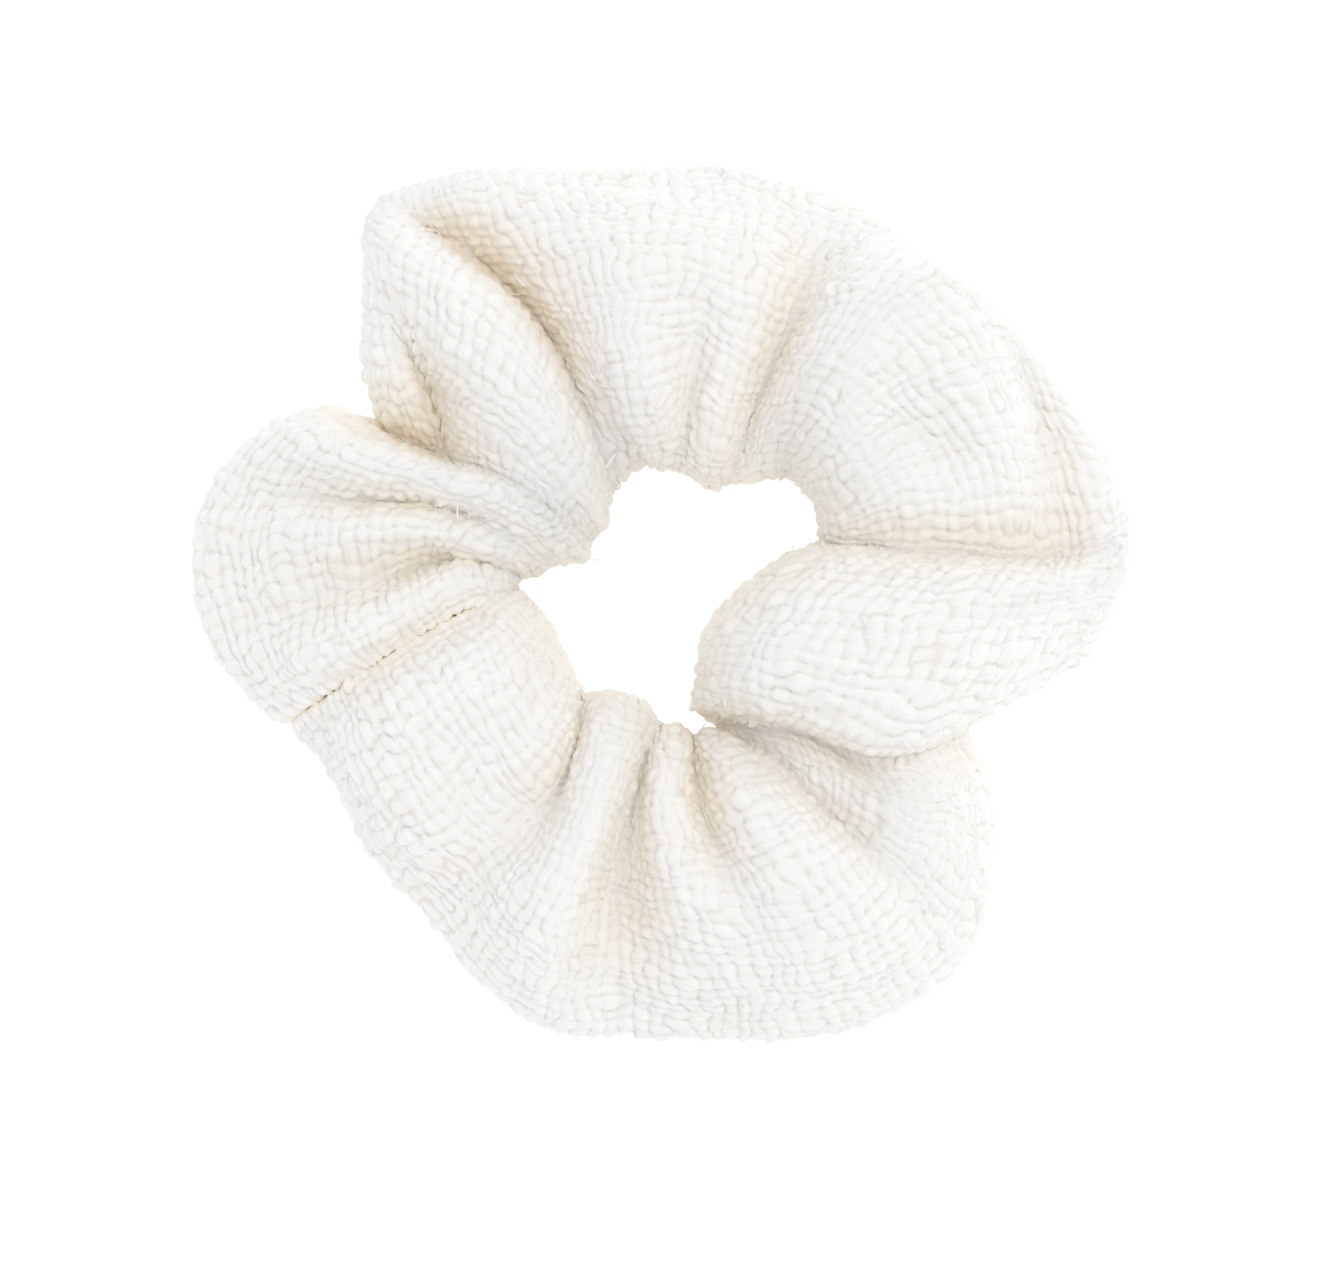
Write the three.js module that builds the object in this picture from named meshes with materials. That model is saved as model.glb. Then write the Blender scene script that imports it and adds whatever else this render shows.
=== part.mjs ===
// A gathered hair scrunchie: a tube of thick woven cloth, sewn shut along its length and at its
// two ends, drawn up over a loose ring of flat elastic.
// Millimetres, +Z up. The origin is the middle of the scrunchie in plan, on the surface it lies on.
import * as THREE from "three";

// Driving dimensions
const RING_CENTRE = new THREE.Vector2(1.5, 0.4);
const CLOTH = 1.4; // thickness of the woven cloth
const GAP = 0.3; // clearance between neighbouring pieces
const FOOT_SINK = 1.2; // how much of each section is pressed flat by the surface
const SQUARENESS = 2.4; // exponent of the superellipse that each section follows
const SEAM_HEIGHT = 6.2; // height of the long seam above the surface
const ALLOWANCE = 9.5; // depth of the long seam's two allowances, measured from the outer face
const STITCH_DEPTH = 6; // how far in from the outer face the long seam is stitched
const TURNED_IN = 6; // length of cloth turned in at each end of the tube
const THREAD = 0.36; // diameter of the sewing thread
const BAND = { radius: 24, width: 6, thickness: 1.0, height: 9, overlap: 14, ramp: 10 };
const ZIGZAG = { legs: 12, halfHeight: 2 };

// How finely the curved pieces are divided
const STATIONS = 66; // sections along the tube
const OUTER_SEGMENTS = 24; // round a section's outer face
const INNER_SEGMENTS = 20; // round a section's inner face
const BAND_SEGMENTS = 84;
const THREAD_SIDES = 6;
const CLOSING_POINTS = 24;
const STEPS_PER_LEG = 4;

// The gathers, anticlockwise from the closing seam. Each row is one section across the tube: its end
// at the hair hole and its end at the rim, each as [degrees, radius] about the ring centre, and its
// height above the surface.
const GATHERS = [
  { hole: [178, 17.0], rim: [198, 46.5], top: 24 }, // closing seam
  { hole: [209, 15.4], rim: [227, 47.0], top: 24 }, // broad lower left panel
  { hole: [224, 14.8], rim: [245, 50.8], top: 22 }, // valley
  { hole: [244, 12.5], rim: [255, 52.0], top: 24 }, // bottom ridge
  { hole: [257, 13.0], rim: [267, 50.5], top: 21 }, // valley
  { hole: [270, 14.4], rim: [281, 51.5], top: 25 }, // narrow ridge
  { hole: [275, 13.6], rim: [298, 54.6], top: 27 }, // puffed lower right lobe
  { hole: [278, 12.8], rim: [309, 54.6], top: 27 }, // its corner
  { hole: [281, 12.0], rim: [321, 48.0], top: 25 }, // its right hand end
  { hole: [293, 8.5], rim: [338, 39.0], top: 22 }, // notch under the right hand flap
  { hole: [345, 6.5], rim: [356, 51.5], top: 28 }, // right hand flap
  { hole: [20, 16.5], rim: [8, 53.0], top: 25 }, // crease above the flap
  { hole: [36, 18.8], rim: [30, 48.8], top: 28 }, // upper right panel
  { hole: [50, 18.9], rim: [52, 47.8], top: 26 }, // its upper part
  { hole: [68, 13.8], rim: [69, 49.0], top: 21 }, // valley
  { hole: [97, 14.8], rim: [89, 49.7], top: 26 }, // top panel
  { hole: [118, 14.0], rim: [116, 54.0], top: 22 }, // diagonal valley
  { hole: [135, 10.9], rim: [132, 51.5], top: 25 }, // top left lobe
  { hole: [162, 12.3], rim: [150, 41.0], top: 21 }, // notch
  { hole: [167, 13.4], rim: [160, 53.6], top: 25 }, // left lobe
  { hole: [171, 15.4], rim: [175, 56.9], top: 26 }, // its outermost point
];

// Curves through the ends of the gathers' sections. The rim curve's third coordinate is the height.
const polarPoint = ([degrees, radius], z) => {
  const angle = THREE.MathUtils.degToRad(degrees);
  const x = RING_CENTRE.x + radius * Math.cos(angle);
  const y = RING_CENTRE.y + radius * Math.sin(angle);
  return new THREE.Vector3(x, y, z);
};
const closedCurve = (points) => new THREE.CatmullRomCurve3(points, true, "catmullrom", 0.5);
const holeCurve = closedCurve(GATHERS.map((g) => polarPoint(g.hole, 0)));
const rimCurve = closedCurve(GATHERS.map((g) => polarPoint(g.rim, g.top)));

// The upright section across the tube at parameter t, which runs from 0 at the closing seam to 1 back
// at it. u is measured from the hole towards the rim.
function sectionAt(t) {
  const hole = holeCurve.getPoint(t);
  const rim = rimCurve.getPoint(t);
  const top = rim.z;
  rim.z = 0;
  const width = hole.distanceTo(rim);
  const along = rim.clone().sub(hole).divideScalar(width);
  const halfHeight = (top + FOOT_SINK) / 2;
  return { hole, along, width, halfHeight, middle: top - halfHeight };
}

const acrossOf = (section) => new THREE.Vector3(-section.along.y, section.along.x, 0);

// A point of the section in space, moved by shift along the tube.
function placed(section, u, z, shift = 0) {
  const point = section.hole.clone().addScaledVector(section.along, u);
  point.addScaledVector(acrossOf(section), shift);
  point.z = z;
  return point;
}

const signedPower = (value, power) => Math.sign(value) * Math.abs(value) ** power;

// Point on the section's face that lies inset inside the outer face, flat where it meets the surface.
function facePoint(section, inset, angle) {
  const halfWidth = section.width / 2;
  const u = halfWidth + (halfWidth - inset) * signedPower(Math.cos(angle), 2 / SQUARENESS);
  const rise = (section.halfHeight - inset) * signedPower(Math.sin(angle), 2 / SQUARENESS);
  return { u, z: Math.max(section.middle + rise, inset) };
}

// Angle at which that face passes a given height on the rim side.
function rimAngle(section, inset, z) {
  const sine = (z - section.middle) / (section.halfHeight - inset);
  return Math.asin(signedPower(sine, SQUARENESS / 2));
}

function facePoints(section, inset, from, to, segments) {
  const points = [];
  for (let i = 0; i <= segments; i++) {
    points.push(facePoint(section, inset, from + ((to - from) * i) / segments));
  }
  return points;
}

// Outline of the cut cloth at one section: round the outer face from the upper lip of the long seam to
// its lower lip, in along the lower allowance, back round the inner face and out along the upper one.
function clothOutline(section, wall) {
  const upper = SEAM_HEIGHT + GAP / 2;
  const lower = SEAM_HEIGHT - GAP / 2;
  const turn = 2 * Math.PI;
  const upperLip = rimAngle(section, 0, upper);
  const lowerLip = rimAngle(section, 0, lower) + turn;
  const outer = facePoints(section, 0, upperLip, lowerLip, OUTER_SEGMENTS);
  const upperRoot = rimAngle(section, wall, upper + CLOTH);
  const lowerRoot = rimAngle(section, wall, lower - CLOTH) + turn;
  const inner = facePoints(section, wall, lowerRoot, upperRoot, INNER_SEGMENTS);
  const tip = outer[0].u - ALLOWANCE;
  const lowerAllowance = [
    { u: tip, z: lower },
    { u: tip, z: lower - CLOTH },
  ];
  const upperAllowance = [
    { u: tip, z: upper + CLOTH },
    { u: tip, z: upper },
  ];
  return [...outer, ...lowerAllowance, ...inner, ...upperAllowance];
}

// A closed solid through a row of outlines with equal numbers of points, capped at both ends.
function loft(outlines, capOutline) {
  const count = capOutline.length;
  const positions = outlines.flat().flatMap((p) => [p.x, p.y, p.z]);
  const index = [];
  for (let i = 0; i + 1 < outlines.length; i++) {
    for (let j = 0; j < count; j++) {
      const a = i * count + j;
      const b = i * count + ((j + 1) % count);
      index.push(a, b + count, b, a, a + count, b + count);
    }
  }
  const flat = capOutline.map((p) => new THREE.Vector2(p.u, p.z));
  const lastRow = (outlines.length - 1) * count;
  for (const [a, b, c] of THREE.ShapeUtils.triangulateShape(flat, [])) {
    index.push(a, b, c);
    index.push(lastRow + a, lastRow + c, lastRow + b);
  }
  const geometry = new THREE.BufferGeometry();
  geometry.setAttribute("position", new THREE.Float32BufferAttribute(positions, 3));
  geometry.setIndex(index);
  geometry.computeVertexNormals();
  return geometry;
}

// The cloth tube. Its two ends stand GAP apart at the closing seam, and the wall is double there.
function casingGeometry() {
  const seam = sectionAt(0);
  const seamMiddle = placed(seam, seam.width / 2, 0);
  const outlines = [];
  for (let i = 0; i <= STATIONS; i++) {
    const section = sectionAt(i / STATIONS);
    const toSeam = placed(section, section.width / 2, 0).distanceTo(seamMiddle);
    const wall = toSeam <= TURNED_IN ? 2 * CLOTH : CLOTH;
    const isEnd = i === 0 || i === STATIONS;
    const shift = isEnd ? (i === 0 ? GAP / 2 : -GAP / 2) : 0;
    outlines.push(clothOutline(section, wall).map((p) => placed(section, p.u, p.z, shift)));
  }
  return loft(outlines, clothOutline(seam, 2 * CLOTH));
}

// The elastic strip, wound into a ring whose outer end rides up over its inner end.
function bandGeometry() {
  const degreesPerMm = 180 / (Math.PI * BAND.radius);
  const total = 360 + BAND.overlap * degreesPerMm;
  const rampEnd = 360;
  const rampStart = rampEnd - BAND.ramp * degreesPerMm;
  const outline = (side) => {
    const points = [];
    for (let i = 0; i <= BAND_SEGMENTS; i++) {
      const degrees = (total * i) / BAND_SEGMENTS;
      const lift = (BAND.thickness + GAP) * THREE.MathUtils.smoothstep(degrees, rampStart, rampEnd);
      const radius = BAND.radius + lift + (side * BAND.thickness) / 2;
      const angle = THREE.MathUtils.degToRad(degrees);
      points.push(new THREE.Vector2(radius * Math.cos(angle), radius * Math.sin(angle)));
    }
    return points;
  };
  const shape = new THREE.Shape([...outline(1), ...outline(-1).reverse()]);
  return new THREE.ExtrudeGeometry(shape, { depth: BAND.width, bevelEnabled: false });
}

// Sewing thread along a smooth curve through the points.
function threadGeometry(points, steps) {
  const section = new THREE.Shape();
  for (let i = 0; i < THREAD_SIDES; i++) {
    const angle = (2 * Math.PI * i) / THREAD_SIDES;
    const x = (THREAD / 2) * Math.cos(angle);
    const y = (THREAD / 2) * Math.sin(angle);
    if (i === 0) section.moveTo(x, y);
    else section.lineTo(x, y);
  }
  const extrudePath = new THREE.CatmullRomCurve3(points);
  return new THREE.ExtrudeGeometry(section, { steps, extrudePath, bevelEnabled: false });
}

// Thread along the long seam, on the upper (side 1) or lower (side -1) face of the two allowances.
function sideSeamThread(side) {
  const height = SEAM_HEIGHT + side * (GAP / 2 + CLOTH + GAP + THREAD / 2);
  const points = [];
  for (let i = 1; i < STATIONS; i++) {
    const section = sectionAt(i / STATIONS);
    const lip = facePoint(section, 0, rimAngle(section, 0, SEAM_HEIGHT + GAP / 2));
    points.push(placed(section, lip.u - STITCH_DEPTH, height));
  }
  return threadGeometry(points, STATIONS);
}

// Thread round the closing seam, just inside one of the tube's turned-in ends.
function closingSeamThread(side) {
  const seam = sectionAt(0);
  const inset = 2 * CLOTH + GAP + THREAD / 2;
  const aboveAllowances = SEAM_HEIGHT + 2 * (CLOTH + GAP + THREAD);
  const from = rimAngle(seam, inset, aboveAllowances);
  const endOfAllowances = Math.PI * 1.55;
  const points = facePoints(seam, inset, from, endOfAllowances, CLOSING_POINTS).map((p) =>
    placed(seam, p.u, p.z, side * (GAP + THREAD)),
  );
  return threadGeometry(points, CLOSING_POINTS * 2);
}

// Zigzag over the elastic's overlap, on its outer (side 1) or inner (side -1) face.
function joinThread(side) {
  const lift = side > 0 ? BAND.thickness + GAP : 0;
  const radius = BAND.radius + lift + side * (BAND.thickness / 2 + GAP + THREAD / 2);
  const points = [];
  for (let i = 0; i <= ZIGZAG.legs; i++) {
    const along = (BAND.overlap * (i + 1)) / (ZIGZAG.legs + 2);
    const angle = along / BAND.radius;
    const z = BAND.width / 2 + (i % 2 === 0 ? 1 : -1) * ZIGZAG.halfHeight;
    points.push(new THREE.Vector3(radius * Math.cos(angle), radius * Math.sin(angle), z));
  }
  return threadGeometry(points, ZIGZAG.legs * STEPS_PER_LEG);
}

function piece(name, geometry, color, roughness) {
  const material = new THREE.MeshStandardMaterial({ color, roughness, metalness: 0 });
  const mesh = new THREE.Mesh(geometry, material);
  mesh.name = name;
  return mesh;
}

const scrunchie = new THREE.Group();
scrunchie.add(piece("casing", casingGeometry(), 0xf3efe8, 0.95));
scrunchie.add(piece("side_seam_needle_thread", sideSeamThread(1), 0xf2ede4, 0.7));
scrunchie.add(piece("side_seam_bobbin_thread", sideSeamThread(-1), 0xf2ede4, 0.7));
scrunchie.add(piece("closing_seam_needle_thread", closingSeamThread(1), 0xf2ede4, 0.7));
scrunchie.add(piece("closing_seam_bobbin_thread", closingSeamThread(-1), 0xf2ede4, 0.7));

// The elastic ring and its stitching turn together inside the tube, about the ring centre.
const elastic = new THREE.Group();
elastic.position.set(RING_CENTRE.x, RING_CENTRE.y, BAND.height - BAND.width / 2);
elastic.add(piece("elastic_band", bandGeometry(), 0xf4f4f0, 0.8));
elastic.add(piece("elastic_join_needle_thread", joinThread(1), 0xf2f2ee, 0.6));
elastic.add(piece("elastic_join_bobbin_thread", joinThread(-1), 0xf2f2ee, 0.6));
scrunchie.add(elastic);

export default scrunchie;
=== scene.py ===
import math

import bpy
import numpy as np
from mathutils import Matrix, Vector
from mathutils.bvhtree import BVHTree


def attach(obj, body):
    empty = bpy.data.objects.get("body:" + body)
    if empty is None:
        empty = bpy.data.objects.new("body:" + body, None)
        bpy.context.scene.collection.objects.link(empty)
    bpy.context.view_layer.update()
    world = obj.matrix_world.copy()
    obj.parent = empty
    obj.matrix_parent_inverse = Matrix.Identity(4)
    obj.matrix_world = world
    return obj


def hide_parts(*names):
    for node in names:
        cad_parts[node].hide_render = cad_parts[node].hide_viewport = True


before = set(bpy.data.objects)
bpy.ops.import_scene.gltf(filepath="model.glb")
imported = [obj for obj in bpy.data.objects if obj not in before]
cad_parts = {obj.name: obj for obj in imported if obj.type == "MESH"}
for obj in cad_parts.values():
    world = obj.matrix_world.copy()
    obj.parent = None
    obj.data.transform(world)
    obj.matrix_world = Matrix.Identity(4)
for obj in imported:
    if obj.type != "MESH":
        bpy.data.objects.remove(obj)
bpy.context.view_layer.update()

MM = 0.001
SEED = 20417
TINY = 1e-9  # keeps a division by a length of nothing finite

# Sizes of the cut cloth and of its folds, in millimetres
LENGTH = 372.0  # of the tube's cloth along the ring, before it was gathered
GIRTH = 94.0  # of the tube's cloth round a section
CLOTH = 1.2  # thickness between the two faces' mean levels
FOLD = 0.8  # radius of the cloth's middle where it turns in at a seam
EDGE = FOLD + CLOTH / 2 - 0.3  # from a seam's line to where the cloth starts to turn in
ALLOWANCE = 8.0  # of the long seam, beyond its stitches
TURNED_IN = 6.0  # at each end of the tube
QUARTER = math.pi * FOLD / 2
PRESSED = CLOTH + 0.1  # between the middles of the two folded edges that meet at the closing seam
SEAM_AT = GIRTH / 2 + 5.0  # the long seam, round the section from the edge at the hair hole
SEAM_DEPTH = 10.0  # the long seam's allowances point at the middle of the tube this far in
STITCH_DEPTH = 3.0  # of the long seam's threads, inwards from where the cloth has turned in

# The loose ring of elastic, in millimetres, as in the CAD
RING = np.array([1.5, 0.4])  # its middle in plan
BAND = {"radius": 24.0, "width": 6.0, "thickness": 1.0, "low": 6.0, "overlap": 14.0, "ramp": 10.0}
BAND_GAP = 0.3  # between the two layers of the overlap
RIBS, RIB_HEIGHT = 8, 0.10
BRAID_LENGTH, BRAID_HEIGHT = 1.4, 0.06
SWEPT_RADII = (22.8, 26.5)  # what the turning elastic and its join sweep
SWEPT_HEIGHTS = (6.0, 12.0)
CLEARANCE = 1.3  # of the cloth's middle from what the elastic sweeps

# Threads, in millimetres
SEWING_RADIUS, JOIN_RADIUS = 0.17, 0.15
PLY_LENGTH, PLY_DEPTH = 1.6, 0.16  # of a thread's twist, and its grooves as a share of the radius
LONG_STITCH, CLOSING_STITCH = 3.0, 2.6
ZIGZAG_LEGS, ZIGZAG_HALF_HEIGHT = 12, 2.0

# Counts of the coarse grid that the folds are worked out on, and of the woven one
ALONG, ROUND = 186, 48
WARP, WEFT = LENGTH / 178, GIRTH / 58  # spacing of the yarns along the tube and round it
PER_WARP, PER_WEFT = 7, 6  # points of the outer face for each yarn

# A section's underside, in millimetres
SECTION_POINTS = 60  # along its top, and beneath, before they are spaced evenly
UNDER_POWER, UNDER_BOW = 2 / 2.3, 0.35  # its rounding, and the share of the top's bow it follows
UNDER_HEIGHT, UNDER_LIFT = 0.9, 3.5  # over the floor, and how much more beneath a valley
HIGH_TOP, LOW_TOP = 22.0, 10.0  # tops of a ridge and of a valley

# How the cloth settles in each step, in millimetres
STEPS = 320
GRIP, EARLY_GRIP = 0.10, 0.2  # pull of a firm point to its fold line, and how much more at first
WEIGHT, PUFF, PULL = 0.004, 0.024, 0.35
BENDING, FLOW = 0.25, 0.022  # shares of the stiff and of the soft way of evening out
CARRIED, FASTEST = 0.85, 0.6  # share of a move that carries on, and the longest move
LAYER_GAP, FLOOR_GAP = 2.3, 1.5  # from a layer's middle to the next one's, and to the floor
EASED = 14  # rounds of evening out where the cloth is tightly gathered
LOOSE, TIGHT = 0.75, 0.35  # spread along the tube, against the flat cloth's width

# The weave. Places are in yarns, heights in millimetres.
SHARP = 18.0  # how crisply one yarn lies over another
COLUMN = {"base": 0.06, "lift": 0.30, "dome": 0.50, "half": 0.47, "swell": 0.13}
CROSSING = {"base": 0.06, "lift": 0.24, "dome": 0.46, "half": 0.46, "swell": 0.07}
DOMED, DOMED_MORE = 0.75, 0.25  # a bead's share of its dome, and the change over and under
WANDER = {"along": (0.20, 120, 22), "across": (0.22, 60, 44)}  # size, and swells both ways
JITTER, UNEVEN = 0.17, 0.26  # of each bead's place and size
SLUBS, SLUB_GROWTH = 13, 0.2  # slubs along one yarn, and how much thicker it is there
MERGING = (1.1, 0.8, 0.8)  # the slub where beads start to merge, over how much of it, how far
SCALES = 3  # weaves of one, two and four yarns pressed into each column
HIDDEN = 0.9  # how far a weave sinks where another scale takes over
FULL_SPREAD, FLATTEST, PLUMPEST = 0.77, 0.6, 1.25  # spread of full relief, its least and most
PITS, TOPS = 4, 80  # percentiles of the relief between which its painted shade in the pits changes
RELIEF_AT_SEAM, PAINTED_SHADE_AT_SEAM = (0.5, 0.9), (0.85, 0.8)  # share lost, and over what width: of the weave's relief, and of the openness, which paints a line of shade along the closing seam

# Groups of parallel film filaments: x, y and how many
GLINTS = (-32.4, 34.0, 2), (-23.0, 9.3, 5), (8.4, -12.9, 2), (-26.0, 19.8, 2), (-14.0, -1.5, 2)

CREAM, CREAM_WARM = (0.972, 0.953, 0.915), (0.97, 0.928, 0.87)
CREAM_DARK, CREAM_LIGHT = (0.962, 0.938, 0.892), (0.98, 0.967, 0.937)
# Painted shade: the cloth is warmer and darker in the deep folds, a little on their slopes, and
# darker in the weave's pits
FOLD_PAINTED_SHADE, SLOPE_PAINTED_SHADE, PIT_PAINTED_SHADE = (1.0, 0.94, 0.83), (1.0, 0.966, 0.912), (0.93, 0.90, 0.86)
SEWING_COLOURS = (0.80, 0.78, 0.73), (0.90, 0.89, 0.86)
JOIN_COLOURS = (0.78, 0.76, 0.72), (0.88, 0.87, 0.84)

# The studio, in metres
TABLE = 3.0
FLOOR_GLOW, SKY, KEY = 0.55, 0.83, 1.1
SKY_COLOUR = (0.965, 0.985, 1.01)
KEY_PLACE, KEY_SIZE = (0.22, 0.12, 0.62), 0.4
GAMMA, BOUNCES = 1.35, 24
CAMERA_PLACE = (0.00037, -0.00516, 0.445)
LENS, SENSOR = 100, 36  # in millimetres

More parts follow.
